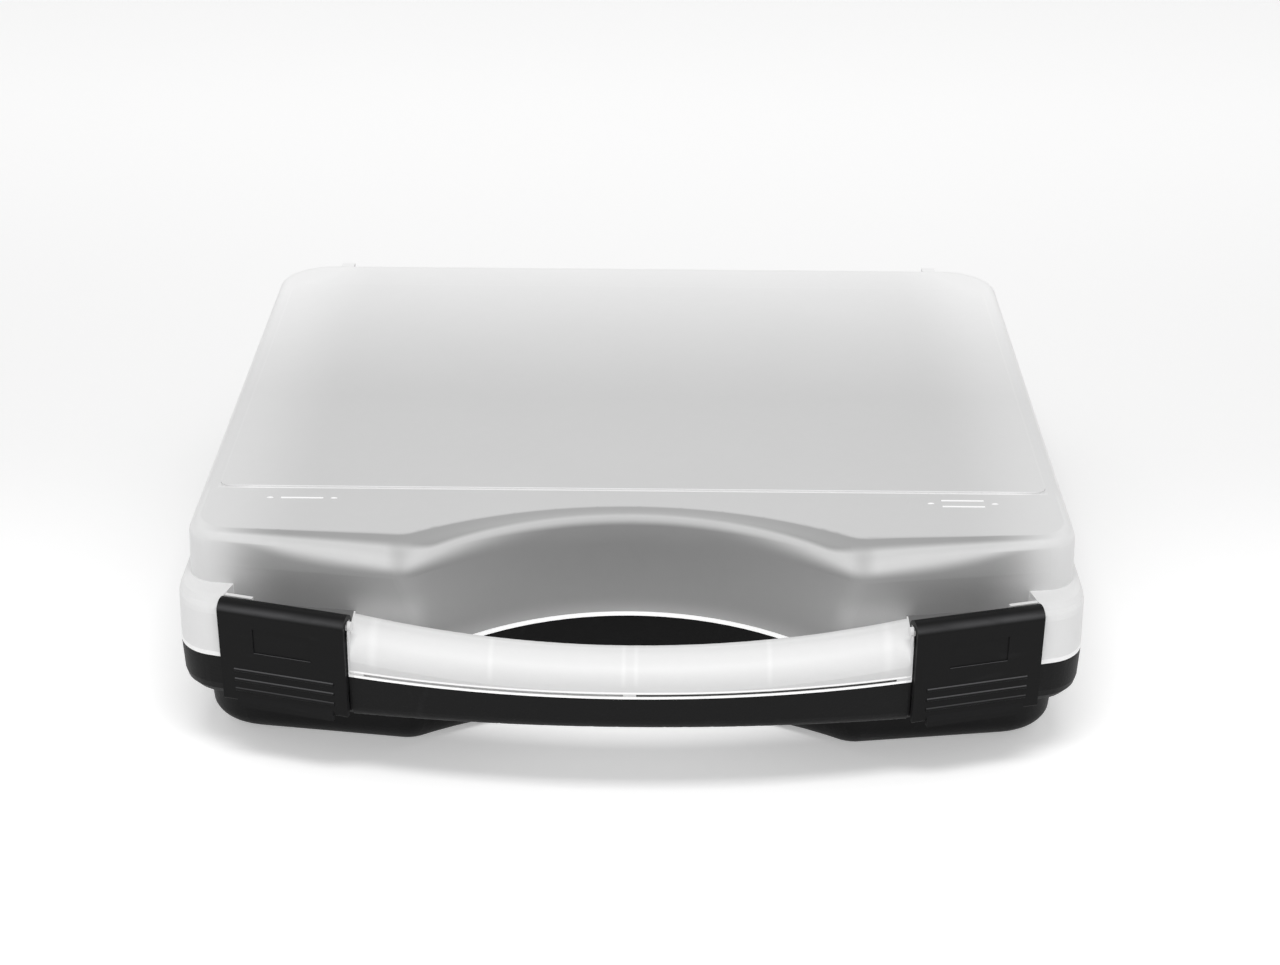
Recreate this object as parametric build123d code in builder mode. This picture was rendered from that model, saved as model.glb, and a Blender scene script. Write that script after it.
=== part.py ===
from build123d import *
import os
from math import cos, radians, sin, sqrt

os.makedirs("parts", exist_ok=True)

# Driving sizes, in millimetres. X runs to the right, Y to the hinge side, Z up from the floor.
width = 285.0
depth = 267.2
base_height = 37.5
lid_height = 36.9
seam_gap = 0.2
wall = 2.2

# Box of each shell behind the rim: how far it stands inside the rim and how its walls lean.
lid_side_step = 2.5
base_side_step = 5.0
rear_step = 1.8
wall_lean = 0.03
rear_corner_radius = 17.0
lid_front_radius = 10.0
base_front_radius = 15.0
lid_edge_round = 3.5
base_edge_round = 9.0
shoulder_edge_round = 11.0
arch_edge_round = 5.0
rounding_steps = 12
least_round = 0.5
same_place = 0.001
cut_margin = 1.0

# Front of the box: a bowed wall, two shoulders and the arch that makes room for the fingers.
corner_setback = 35.5
shoulder_setback = 25.5
shoulder_seam_inset = 24.8
shoulder_edge_inset = 15.8
shoulder_radius = 9.0
shoulder_draw = 0.28
arch_lean = 0.04

# Raised panel on the lid.
panel_height = 0.6
panel_side_margin = 7.0
panel_front_gap = 16.5
panel_rear_gap = 23.0
panel_corner_radius = 4.0

# Rim round both shells, widest at the seam.
lid_rim_height = 19.5
base_rim_height = 16.0
rim_corner_radius = 14.0
rim_side_round = 2.2
rim_front_round = 4.5
base_rim_round = 6.0
rim_steps = 4

# Carrying handle, half on each shell, with ribs across its hollow.
handle_end_margin = 56.7
handle_bow = 11.11
handle_inner_bow = 11.78
handle_depth = 20.0
finger_gap = 29.8
lid_handle_rise = 10.3
lid_handle_end_rise = 13.86
base_handle_drop = 11.8
base_handle_end_drop = 14.94
handle_outer_round = 12.0
handle_inner_round = 7.0
handle_round_height = 8.0
base_handle_round = 4.0
handle_least_side = 0.8
handle_stations = 6
rib_thickness = 1.6
rib_pitch = 42.5
rib_embed = 0.8
slot_start = 2.0
slot_end_inset = 4.0
slot_rise = 0.9
slot_height = 0.8
slot_depth = 1.2

# Latches. Their heights are measured up or down from the seam.
latch_length = 41.7
latch_angle = 15.0
latch_thickness = 2.5
latch_proud = 1.5
latch_gap = 0.3
latch_end_gap = 0.4
latch_inner_wall = 0.8
latch_rise = 20.5
latch_drop = 14.1
latch_headroom = 1.0
latch_edge_round = 0.5
latch_reach = 10.0
barrel_radius = 3.5
bar_radius = 1.5
bar_embed = 1.0
running_clearance = 0.05
barrel_mouth = 2.4
lip_length = 32.0
lip_drop = 1.8
lip_flare = 0.7
lip_thickness = 1.5
lip_root = 1.0
grip_count = 3
grip_pitch = 3.5
grip_length = 33.0
grip_radius = 0.7
grip_proud = 0.4
grip_drop = 9.9
window_width = 19.0
window_height = 8.7
window_rise = 8.4
window_recess = 0.4
catch_drop = 7.7
catch_radius = 1.5
catch_proud = 0.9
catch_length = 30.0
catch_clear = 0.15
catch_relief = 0.9
latch_bead_radius = 0.8
latch_bead_drop = 10.6
hollow_end_wall = 1.5
hollow_reach = 30.0
lug_length = 10.0
lug_thickness = 1.4
lug_drop = 1.4
well_rise = 13.5
well_start = 4.5

# Hinges at the back, and the ribs that the case stands on when it is set on its hinge side.
hinge_end_margin = 62.5
knuckle_radius = 3.0
knuckle_middle = 14.0
knuckle_end = 10.0
knuckle_gap = 0.3
pin_radius = 1.25
pin_seat_clearance = 0.02
pin_chamfer = 0.3
hinge_standoff = 3.4
foot_end_margin = 27.5
foot_width = 5.0
foot_clear = 1.4
foot_end_gap = 1.2
foot_seam_gap = 3.0
foot_round = 1.5
foot_embed = 2.0

# Foam inside.
foam_clear = 0.4
foam_seat = 0.05
base_foam_thickness = 8.0
insert_thickness = 20.0
lid_foam_thickness = 14.0
pocket_count = 4
pocket_pitch = 46.0
pocket_handle_length = 112.0
pocket_handle_width = 26.0
pocket_blade_length = 118.0
pocket_blade_width = 18.0

# Places that follow from the sizes above.
handle_half_length = width / 2 - handle_end_margin
shoulder_x_seam = handle_half_length - shoulder_seam_inset
shoulder_x_edge = handle_half_length - shoulder_edge_inset
hinge_x = width / 2 - hinge_end_margin
foot_x = width / 2 - foot_end_margin
handle_front = -depth / 2
arch_y = handle_front + handle_depth + finger_gap
hinge_y = depth / 2 - knuckle_radius
rim_rear = hinge_y - hinge_standoff
box_rear = rim_rear - rear_step
pocket_centre_y = (arch_y + box_rear) / 2
corner_y = handle_front + corner_setback
shoulder_y = handle_front + shoulder_setback
lid_side = width / 2 - lid_side_step
base_side = width / 2 - base_side_step
lid_top = base_height + lid_height
latch_top = base_height + latch_rise
latch_bottom = base_height - latch_drop
catch_height = base_height - catch_drop
lean_slope = sin(radians(latch_angle)) / cos(radians(latch_angle))
handle_end_y = handle_front + handle_bow
rim_corner_y = handle_end_y + lean_slope * (width / 2 - handle_half_length)


def edge_inset(rise, full_rise, radius):
    """How far a rounded edge of this radius has drawn in at a height above the seam."""
    over = rise - (full_rise - radius)
    if over <= 0 or radius <= 0:
        return 0.0
    return radius - sqrt(max(radius**2 - min(over, radius) ** 2, 0.0))


def box_section(height, rise, full_rise, side, edge_round, corner_round, inset):
    """Outline of a shell's box at one height, drawn in from its outside by the inset."""
    shoulder_round = max(shoulder_edge_round - inset, least_round)
    plain_round = max(edge_round - inset, least_round)
    arch_round = max(arch_edge_round - inset, least_round)
    at_edge = edge_inset(rise, full_rise, plain_round)
    at_shoulder = edge_inset(rise, full_rise, shoulder_round)
    at_arch = edge_inset(rise, full_rise, arch_round)
    lean = wall_lean * rise
    spread = min(rise / (full_rise - shoulder_round), 1.0)
    half = side - lean - inset - at_edge
    rear = box_rear - lean - inset - at_edge
    corner = corner_y + lean + inset + at_edge
    shoulder_x = shoulder_x_seam + (shoulder_x_edge - shoulder_x_seam) * spread
    shoulder = (shoulder_x + shoulder_draw * inset, shoulder_y + lean + inset + at_shoulder)
    apex = arch_y + arch_lean * rise + inset + at_arch
    with BuildSketch(Plane.XY.offset(height)) as section:
        with BuildLine():
            Polyline(
                shoulder,
                (half, corner),
                (half, rear),
                (-half, rear),
                (-half, corner),
                (-shoulder[0], shoulder[1]),
            )
            ThreePointArc((-shoulder[0], shoulder[1]), (0, apex), shoulder)
        make_face()
        corners = section.vertices().group_by(Axis.Y)
        fillet(corners[-1], radius=rear_corner_radius - inset)
        front = section.vertices().filter_by(lambda v: abs(v.Y - corner) < same_place)
        fillet(front, radius=corner_round - inset)
        bends = section.vertices().filter_by(lambda v: abs(v.Y - shoulder[1]) < same_place)
        fillet(bends, radius=shoulder_radius - inset)
    return section.sketch


def box_outlines(up, full_rise, side, edge_round, corner_round, inset, start=0.0):
    """Outlines of a shell's box: two for its leaning wall, and a stack for its edge, close at both ends."""
    top = full_rise - inset
    first_bend = top - (shoulder_edge_round - inset)
    angles = [180 * step / rounding_steps for step in range(rounding_steps + 1)]
    bends = [first_bend + (top - first_bend) * (1 - cos(radians(angle))) / 2 for angle in angles]

    def outline(rise):
        return box_section(base_height + up * rise, rise, top, side, edge_round, corner_round, inset)

    return [outline(start), outline(first_bend)], [outline(rise) for rise in bends]


def rim_section(height, side_inset, front_inset):
    """Outline of the rim, which reaches forward to the latches on each side of the handle."""
    half = width / 2 - side_inset
    rear = rim_rear - side_inset
    step_in = handle_end_y + front_inset
    outer_y = rim_corner_y + front_inset - lean_slope * side_inset
    with BuildSketch(Plane.XY.offset(height)) as section:
        with BuildLine():
            Polyline(
                (handle_half_length, step_in),
                (half, outer_y),
                (half, rear),
                (-half, rear),
                (-half, outer_y),
                (-handle_half_length, step_in),
                (-handle_half_length, arch_y + 2 * wall),
                (handle_half_length, arch_y + 2 * wall),
                close=True,
            )
        make_face()
        fillet(section.vertices().group_by(Axis.Y)[-1], radius=rear_corner_radius)
        front = section.vertices().filter_by(lambda v: abs(v.Y - outer_y) < same_place)
        fillet(front, radius=rim_corner_radius)
    return section.sketch


def rim_outlines(up, rim_rise, side_round, front_round):
    """Outlines of one shell's rim, from the seam to its ledge."""
    straight = rim_rise - max(side_round, front_round)
    rises = [seam_gap / 2, straight]
    for step in range(1, rim_steps + 1):
        rises.append(straight + (rim_rise - straight) * sin(radians(90 * step / rim_steps)))
    return [
        rim_section(
            base_height + up * rise,
            wall_lean * rise + edge_inset(rise, rim_rise, side_round),
            wall_lean * rise + edge_inset(rise, rim_rise, front_round),
        )
        for rise in rises
    ]


def handle_section(x, up, mid_rise, end_rise, inset, grow=0.0):
    """Cross-section of one half of the handle, in the plane across it at x."""
    share = (x / handle_half_length) ** 2
    outer = handle_front + handle_bow * share + inset
    inner = handle_front + handle_depth + handle_inner_bow * share - inset
    rise = mid_rise + (end_rise - mid_rise) * share - inset
    if up > 0:
        crown = outer + handle_outer_round - inset
        crown_inner = inner - handle_inner_round + inset
        bend = min(handle_round_height, rise - handle_least_side)
    else:
        crown = outer + base_handle_round - inset
        crown_inner = inner - base_handle_round + inset
        bend = min(base_handle_round, rise - handle_least_side)
    foot = seam_gap / 2 - grow
    shoulder = base_height + up * (rise - bend)
    top = base_height + up * rise
    low = base_height + up * foot
    tilt = sqrt(1 / 2)
    outer_mid = (crown - (crown - outer) * tilt, shoulder + up * bend * tilt)
    inner_mid = (crown_inner + (inner - crown_inner) * tilt, shoulder + up * bend * tilt)
    with BuildSketch(Plane(origin=(x, 0, 0), x_dir=(0, 1, 0), z_dir=(1, 0, 0))) as section:
        with BuildLine():
            Line((outer, low), (outer, shoulder))
            ThreePointArc((outer, shoulder), outer_mid, (crown, top))
            Line((crown, top), (crown_inner, top))
            ThreePointArc((crown_inner, top), inner_mid, (inner, shoulder))
            Line((inner, shoulder), (inner, low))
            Line((inner, low), (outer, low))
        make_face()
    return section.sketch


def handle_sections(up, mid_rise, end_rise, inset, half_length, grow=0.0):
    """Cross-sections of one half of the handle, from end to end."""
    places = [-1 + 2 * station / handle_stations for station in range(handle_stations + 1)]
    return [handle_section(half_length * place, up, mid_rise, end_rise, inset, grow) for place in places]


def handle_slot():
    """Outline of the shallow slot along one half of the handle's front, just over the seam."""
    ends = (slot_start, handle_half_length - slot_end_inset)
    places = (ends[0], (ends[0] + ends[1]) / 2, ends[1])
    floor = [(x, handle_front + handle_bow * (x / handle_half_length) ** 2 + slot_depth) for x in places]
    with BuildSketch(Plane.XY.offset(base_height + slot_rise)) as slot:
        with BuildLine():
            ThreePointArc(*floor)
            Polyline(
                floor[-1],
                (ends[1], handle_front - cut_margin),
                (ends[0], handle_front - cut_margin),
                floor[0],
            )
        make_face()
    return slot.sketch


# Frame of the right latch: U runs inward from the rim's face, V is up, and it is drawn at the inner end.
latch_dir = Vector(cos(radians(latch_angle)), sin(radians(latch_angle)), 0)
latch_in = Vector(-latch_dir.Y, latch_dir.X, 0)
latch_start = Vector(handle_half_length, handle_end_y, 0) + latch_dir * (latch_inner_wall + latch_end_gap)


def latch_plane(along):
    """Plane across the right latch at a distance from its inner end."""
    return Plane(origin=latch_start + latch_dir * along, x_dir=latch_in, z_dir=latch_dir)


plate_back = latch_thickness - latch_proud
pivot_in = barrel_radius - latch_proud
pivot_height = latch_top - barrel_radius
pocket_back = plate_back + latch_gap
groove_radius = barrel_radius + latch_gap
base_rim_bottom = base_height - base_rim_height
well_floor = base_height + well_rise


def latch_pocket():
    """Profile of the room for the right latch: a shallow recess and the barrel's groove."""
    with BuildSketch(latch_plane(-latch_end_gap)) as profile:
        with BuildLine():
            Polyline(
                (-latch_reach, base_rim_bottom - latch_reach),
                (pocket_back, base_rim_bottom - latch_reach),
                (pocket_back, pivot_height),
                (pocket_back, latch_top + latch_headroom),
                (-latch_reach, latch_top + latch_headroom),
                close=True,
            )
        make_face()
        with Locations((pivot_in, pivot_height)):
            Circle(groove_radius)
            with Locations((0, groove_radius / 2)):
                Rectangle(2 * groove_radius, groove_radius)
    return profile.sketch


def rim_hollow(up, high):
    """Profile of the hollow behind the latch of one shell, open at the seam."""
    low = base_height - up * cut_margin
    front = pocket_back + wall
    with BuildSketch(latch_plane(hollow_end_wall)) as profile:
        with BuildLine():
            Polyline((front, low), (front, high), (hollow_reach, high), (hollow_reach, low), close=True)
        make_face()
    return profile.sketch


def latch_well():
    """Profile of the room behind the latch's barrel, over the lid's rim."""
    high = latch_top + latch_headroom
    with BuildSketch(latch_plane(-latch_end_gap - latch_inner_wall - cut_margin)) as profile:
        with BuildLine():
            Polyline(
                (well_start, well_floor),
                (well_start, high),
                (hollow_reach, high),
                (hollow_reach, well_floor),
                close=True,
            )
        make_face()
    return profile.sketch


def knuckle(x, length, up):
    """Profile of a hinge knuckle and the arm that joins it to its shell's rim."""
    with BuildSketch(Plane(origin=(x - length / 2, 0, 0), x_dir=(0, 1, 0), z_dir=(1, 0, 0))) as profile:
        with Locations((hinge_y, base_height)):
            Circle(knuckle_radius)
        reach = hinge_standoff + wall
        with Locations((hinge_y - reach / 2, base_height + up * (knuckle_radius + seam_gap / 2) / 2)):
            Rectangle(reach, knuckle_radius - seam_gap / 2)
    return profile.sketch


def pin_circle(x, length, clearance):
    """Profile of a hinge pin, or of its hole with some clearance."""
    with BuildSketch(Plane(origin=(x - length / 2, 0, 0), x_dir=(0, 1, 0), z_dir=(1, 0, 0))) as profile:
        with Locations((hinge_y, base_height)):
            Circle(pin_radius + clearance)
    return profile.sketch


def foot_rib(x, up, full_rise):
    """Profile of a rib down the back wall, which the case stands on when it is set on end."""
    seam_end = base_height + up * foot_seam_gap
    far_end = base_height + up * (full_rise - foot_end_gap)
    back = hinge_y - foot_clear
    root = box_rear - lid_edge_round - foot_embed
    with BuildSketch(Plane(origin=(x - foot_width / 2, 0, 0), x_dir=(0, 1, 0), z_dir=(1, 0, 0))) as rib:
        with BuildLine():
            Polyline(
                (root, seam_end),
                (back, seam_end),
                (back, far_end),
                (root, far_end),
                close=True,
            )
        make_face()
        fillet(rib.vertices().group_by(Axis.Y)[-1], radius=foot_round)
    return rib.sketch


def knife_pockets():
    """Outlines of the cut-outs for the knives, a handle end and a blade end, turned about in turn."""
    full = pocket_handle_length + pocket_blade_length
    with BuildSketch() as pockets:
        for row in range(pocket_count):
            turn = 1 if row % 2 == 0 else -1
            y = pocket_centre_y + (row - (pocket_count - 1) / 2) * pocket_pitch
            with Locations((turn * (pocket_handle_length - full) / 2, y)):
                Rectangle(pocket_handle_length, pocket_handle_width)
            with Locations((turn * (full - pocket_blade_length) / 2, y)):
                Rectangle(pocket_blade_length, pocket_blade_width)
    return pockets.sketch


def latch_plate():
    """Profile of the latch: its plate, with a barrel at the top that clips round the lid's bar."""
    with BuildSketch(latch_plane(0)) as profile:
        with BuildLine():
            Polyline(
                (-latch_proud, latch_bottom),
                (-latch_proud, pivot_height),
                (plate_back, pivot_height),
                (plate_back, catch_height + 2 * catch_radius),
                (plate_back - catch_relief, catch_height + 2 * catch_radius - catch_relief),
                (plate_back - catch_relief, latch_bottom),
                close=True,
            )
        make_face()
        fillet(profile.vertices().sort_by(Axis.Z)[0:2], radius=latch_edge_round)
        with Locations((pivot_in, pivot_height)):
            Circle(barrel_radius)
            Circle(bar_radius + running_clearance, mode=Mode.SUBTRACT)
        with Locations(Location((pivot_in, pivot_height), -45)):
            with Locations(((barrel_radius + cut_margin) / 2, 0)):
                Rectangle(barrel_radius + cut_margin, barrel_mouth, mode=Mode.SUBTRACT)
    return profile.sketch


def latch_lip():
    """Profile of the finger lip under the latch's lower edge."""
    low = latch_bottom - lip_drop
    high = latch_bottom + lip_drop
    with BuildSketch(latch_plane((latch_length - lip_length) / 2)) as profile:
        with BuildLine():
            Polyline(
                (-latch_proud, high),
                (-latch_proud - lip_flare, latch_bottom),
                (-latch_proud - lip_flare, low),
                (-latch_proud - lip_flare + lip_thickness, low),
                (plate_back - catch_relief, latch_bottom + lip_root),
                (plate_back - catch_relief, high),
                close=True,
            )
        make_face()
    return profile.sketch


def latch_bead(at, centre, radius, length):
    """Profile of a rounded bead along a latch, at a distance inward and a height."""
    with BuildSketch(latch_plane((latch_length - length) / 2)) as profile:
        with Locations((at, centre)):
            Circle(radius)
    return profile.sketch


def latch_lug():
    """Profile of the low lug behind the outer end of the latch's barrel."""
    with BuildSketch(latch_plane(latch_length + latch_end_gap + bar_embed - lug_length)) as profile:
        with BuildLine():
            Polyline(
                (pivot_in + groove_radius, well_floor - lug_thickness),
                (pivot_in + groove_radius, latch_top - lug_drop),
                (pivot_in + groove_radius + lug_thickness, latch_top - lug_drop),
                (pivot_in + groove_radius + lug_thickness, well_floor - lug_thickness),
                close=True,
            )
        make_face()
    return profile.sketch


def foam_outline(height, rise, full_rise, side, edge_round, corner_round):
    """Outline at a height of a foam layer cut to a shell's room as it is at a rise from the seam."""
    return box_section(height, rise, full_rise - wall, side, edge_round, corner_round, wall + foam_clear)


# Outer and inner boxes of both shells, and the rooms inside them, kept as tools for the shells below.
room_half_length = handle_half_length - wall

with BuildPart() as lid_box:
    walls, edge = box_outlines(1, lid_height, lid_side, lid_edge_round, lid_front_radius, 0.0, seam_gap / 2)
    loft(walls, ruled=True)
    loft(edge)
with BuildPart() as lid_room:
    walls, edge = box_outlines(1, lid_height, lid_side, lid_edge_round, lid_front_radius, wall)
    loft(walls, ruled=True)
    loft(edge)
with BuildPart() as base_box:
    walls, edge = box_outlines(
        -1, base_height, base_side, base_edge_round, base_front_radius, 0.0, seam_gap / 2
    )
    loft(walls, ruled=True)
    loft(edge)
with BuildPart() as base_room:
    walls, edge = box_outlines(-1, base_height, base_side, base_edge_round, base_front_radius, wall)
    loft(walls, ruled=True)
    loft(edge)
with BuildPart() as lid_handle_room:
    loft(handle_sections(1, lid_handle_rise, lid_handle_end_rise, wall, room_half_length, cut_margin))
    add(lid_box.part, mode=Mode.SUBTRACT)
with BuildPart() as base_handle_room:
    loft(handle_sections(-1, base_handle_drop, base_handle_end_drop, wall, room_half_length, cut_margin))
    add(base_box.part, mode=Mode.SUBTRACT)
with BuildPart() as lid_rim_room:
    extrude(rim_hollow(1, pivot_height - groove_radius - wall), amount=latch_length - 2 * hollow_end_wall)
    mirror(about=Plane.YZ)
    add(lid_box.part, mode=Mode.SUBTRACT)
with BuildPart() as base_rim_room:
    extrude(rim_hollow(-1, base_rim_bottom + wall), amount=latch_length - 2 * hollow_end_wall)
    mirror(about=Plane.YZ)
    add(base_box.part, mode=Mode.SUBTRACT)
with BuildPart() as latch_wells:
    extrude(latch_well(), amount=latch_length + latch_inner_wall + 2 * latch_end_gap + cut_margin)
    mirror(about=Plane.YZ)
with BuildPart() as latch_rooms:
    extrude(latch_pocket(), amount=latch_length + 2 * latch_end_gap)
    mirror(about=Plane.YZ)
with BuildPart() as handle_slots:
    extrude(handle_slot(), amount=slot_height)
    mirror(about=Plane.YZ)
with BuildPart() as latch_bars:
    bar_length = latch_length + 2 * (latch_end_gap + bar_embed)
    extrude(latch_bead(pivot_in, pivot_height, bar_radius, bar_length), amount=bar_length)
    extrude(latch_lug(), amount=lug_length)
    mirror(about=Plane.YZ)
with BuildPart() as latch_catches:
    extrude(
        latch_bead(pocket_back + catch_radius - catch_proud, catch_height, catch_radius, catch_length),
        amount=catch_length,
    )
    mirror(about=Plane.YZ)

lid_knuckle_places = [
    side * hinge_x + end * (knuckle_middle / 2 + knuckle_gap + knuckle_end / 2)
    for side in (-1, 1)
    for end in (-1, 1)
]

# Lid shell
with BuildPart() as lid_shell:
    loft(rim_outlines(1, lid_rim_height, rim_side_round, rim_front_round), ruled=True)
    add(latch_wells.part, mode=Mode.SUBTRACT)
    add(lid_box.part)
    loft(handle_sections(1, lid_handle_rise, lid_handle_end_rise, 0.0, handle_half_length))
    with BuildSketch(Plane.XY.offset(lid_top - panel_height)):
        with Locations((0, (arch_y + panel_front_gap + box_rear - panel_rear_gap) / 2)):
            RectangleRounded(
                2 * (lid_side - panel_side_margin),
                box_rear - panel_rear_gap - arch_y - panel_front_gap,
                panel_corner_radius,
            )
    extrude(amount=2 * panel_height)
    for side in (-1, 1):
        extrude(foot_rib(side * foot_x, 1, lid_height), amount=foot_width)
    for place in lid_knuckle_places:
        extrude(knuckle(place, knuckle_end, 1), amount=knuckle_end)
    add(lid_room.part, mode=Mode.SUBTRACT)
    add(lid_handle_room.part, mode=Mode.SUBTRACT)
    add(lid_rim_room.part, mode=Mode.SUBTRACT)
    add(latch_rooms.part, mode=Mode.SUBTRACT)
    add(handle_slots.part, mode=Mode.SUBTRACT)
    add(latch_bars.part)
    for rib in (-1, 0, 1):
        start = rib * rib_pitch - rib_thickness / 2
        profile = handle_section(start, 1, lid_handle_rise, lid_handle_end_rise, rib_embed)
        extrude(profile, amount=rib_thickness)
    for place in lid_knuckle_places:
        extrude(pin_circle(place, knuckle_end, running_clearance), amount=knuckle_end, mode=Mode.SUBTRACT)
lid_shell.part.label = "lid_shell"
export_step(lid_shell.part, "parts/lid_shell.step")

# Base shell
with BuildPart() as base_shell:
    add(base_box.part)
    loft(rim_outlines(-1, base_rim_height, base_rim_round, base_rim_round), ruled=True)
    loft(handle_sections(-1, base_handle_drop, base_handle_end_drop, 0.0, handle_half_length))
    for side in (-1, 1):
        extrude(foot_rib(side * foot_x, -1, base_height), amount=foot_width)
        extrude(knuckle(side * hinge_x, knuckle_middle, -1), amount=knuckle_middle)
    add(base_room.part, mode=Mode.SUBTRACT)
    add(base_handle_room.part, mode=Mode.SUBTRACT)
    add(base_rim_room.part, mode=Mode.SUBTRACT)
    add(latch_rooms.part, mode=Mode.SUBTRACT)
    add(latch_catches.part)
    for rib in (-1, 0, 1):
        start = rib * rib_pitch - rib_thickness / 2
        profile = handle_section(start, -1, base_handle_drop, base_handle_end_drop, rib_embed)
        extrude(profile, amount=rib_thickness)
    for side in (-1, 1):
        hole = pin_circle(side * hinge_x, knuckle_middle, pin_seat_clearance)
        extrude(hole, amount=knuckle_middle, mode=Mode.SUBTRACT)
base_shell.part.label = "base_shell"
export_step(base_shell.part, "parts/base_shell.step")

# Latches
with BuildPart() as latch_right:
    extrude(latch_plate(), amount=latch_length)
    extrude(latch_lip(), amount=lip_length)
    for grip in range(grip_count):
        ridge_in = grip_radius - grip_proud - latch_proud
        ridge = latch_bead(ridge_in, base_height - grip_drop + grip * grip_pitch, grip_radius, grip_length)
        extrude(ridge, amount=grip_length)
    latch_bead_tip = pocket_back - catch_proud - catch_clear
    bead_height = base_height - latch_bead_drop
    bead = latch_bead(latch_bead_tip - latch_bead_radius, bead_height, latch_bead_radius, catch_length)
    extrude(bead, amount=catch_length)
    window_origin = latch_start + latch_dir * (latch_length / 2) - latch_in * latch_proud
    with BuildSketch(Plane(origin=window_origin, x_dir=latch_dir, z_dir=-latch_in)):
        with Locations((0, base_height + window_rise)):
            Rectangle(window_width, window_height)
    extrude(amount=-window_recess, mode=Mode.SUBTRACT)
latch_right.part.label = "latch_right"
export_step(latch_right.part, "parts/latch_right.step")
with BuildPart() as latch_left:
    mirror(latch_right.part, about=Plane.YZ)
latch_left.part.label = "latch_left"
export_step(latch_left.part, "parts/latch_left.step")

# Hinge pins
pin_length = knuckle_middle + 2 * (knuckle_gap + knuckle_end)
for side, name in ((-1, "hinge_pin_left"), (1, "hinge_pin_right")):
    with BuildPart() as hinge_pin:
        extrude(pin_circle(side * hinge_x, pin_length, 0.0), amount=pin_length)
        chamfer(hinge_pin.edges().filter_by(GeomType.CIRCLE), length=pin_chamfer)
    hinge_pin.part.label = name
    export_step(hinge_pin.part, "parts/" + name + ".step")

# Foam: a base layer, the insert with the knife cut-outs on it, and a pad under the lid
with BuildPart() as base_foam:
    floor_rise = base_height - wall
    outline = foam_outline(
        wall + foam_seat, floor_rise, base_height, base_side, base_edge_round, base_front_radius
    )
    extrude(outline, amount=base_foam_thickness)
base_foam.part.label = "base_foam"
export_step(base_foam.part, "parts/base_foam.step")

insert_bottom = wall + base_foam_thickness + 2 * foam_seat
with BuildPart() as knife_insert:
    insert_rise = base_height - insert_bottom
    outline = foam_outline(
        insert_bottom, insert_rise, base_height, base_side, base_edge_round, base_front_radius
    )
    extrude(outline, amount=insert_thickness)
    with BuildSketch(Plane.XY.offset(insert_bottom)):
        add(knife_pockets())
    extrude(amount=insert_thickness, mode=Mode.SUBTRACT)
knife_insert.part.label = "knife_insert"
export_step(knife_insert.part, "parts/knife_insert.step")

with BuildPart() as lid_foam:
    foam_top = lid_top - wall - foam_seat
    outline = foam_outline(
        foam_top, lid_height - wall, lid_height, lid_side, lid_edge_round, lid_front_radius
    )
    extrude(outline, amount=-lid_foam_thickness)
lid_foam.part.label = "lid_foam"
export_step(lid_foam.part, "parts/lid_foam.step")
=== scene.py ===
"""Looks of the knife case: frosted lid, black base, snap latches, hinge pins and foam."""

from math import cos, pi, radians, sin

import bmesh
import bpy
from mathutils import Matrix, Vector


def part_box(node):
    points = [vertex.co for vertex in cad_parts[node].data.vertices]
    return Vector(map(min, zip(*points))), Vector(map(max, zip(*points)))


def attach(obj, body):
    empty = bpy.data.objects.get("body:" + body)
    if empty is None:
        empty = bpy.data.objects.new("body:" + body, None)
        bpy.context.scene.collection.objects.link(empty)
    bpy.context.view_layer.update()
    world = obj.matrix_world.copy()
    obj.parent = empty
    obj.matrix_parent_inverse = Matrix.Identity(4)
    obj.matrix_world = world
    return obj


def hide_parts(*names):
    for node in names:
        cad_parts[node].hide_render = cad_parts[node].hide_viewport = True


bl_info = {
    "name": "Knife case",
    "version": (1, 0, 0),
    "blender": (4, 5, 0),
    "location": "View3D > Sidebar > Knife case",
    "description": "Dresses the packed knife case in its finishes and sets its stage",
    "category": "Object",
}

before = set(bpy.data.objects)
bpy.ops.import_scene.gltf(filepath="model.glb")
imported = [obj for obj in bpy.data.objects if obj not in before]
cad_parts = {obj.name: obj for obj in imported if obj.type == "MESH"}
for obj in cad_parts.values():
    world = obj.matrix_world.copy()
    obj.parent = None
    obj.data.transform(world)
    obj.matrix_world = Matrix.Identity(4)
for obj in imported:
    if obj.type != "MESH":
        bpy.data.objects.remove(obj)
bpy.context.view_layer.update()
lid_low, lid_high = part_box("lid_shell")
pad_low, pad_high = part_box("lid_foam")

MM = 0.001

# Metres within which two points are one
WELD = 1e-5

# Places on the case that its greys follow, in millimetres
PANEL_RISE = 0.6
FLAT_TOP = lid_high.z / MM - PANEL_RISE
PANEL_SIDE = 133.0
PANEL_FRONT = -67.3
PANEL_REAR = 102.4
REAR_EDGE = 119.0
ARCH_ROUND = 5.0
SHOULDER_ROUND = 11.0
CORNER_ROUND = 3.5
SHOULDER_X = 70.0
CORNER_X = 138.0
SEAM = 37.5
GRIP_HALF = 85.8
GRIP_FRONT = lid_low.y / MM
GRIP_BACK = -113.2
GRIP_BOW = 11.11
GRIP_BACK_BOW = 11.78
SLOT_LOW = 38.4
SLOT_HIGH = 39.2
END_WALL = -116.2
END_WALL_SLOPE = 0.1266
RIM_TOP = 57.0
RIM_START = GRIP_HALF - 2.0
RIM_BACK = -85.0
LATCH_TILT = radians(15.0)
LATCH_END = 43.1
LATCH_PLATE_TOP = 50.0
LOWEST_RIDGE = 27.6
WELL_FLOOR = 51.0
LUG_LENGTH = 10.0
LUG_DEPTH = 8.0
ROOM_DEPTH = 4.0

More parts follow.
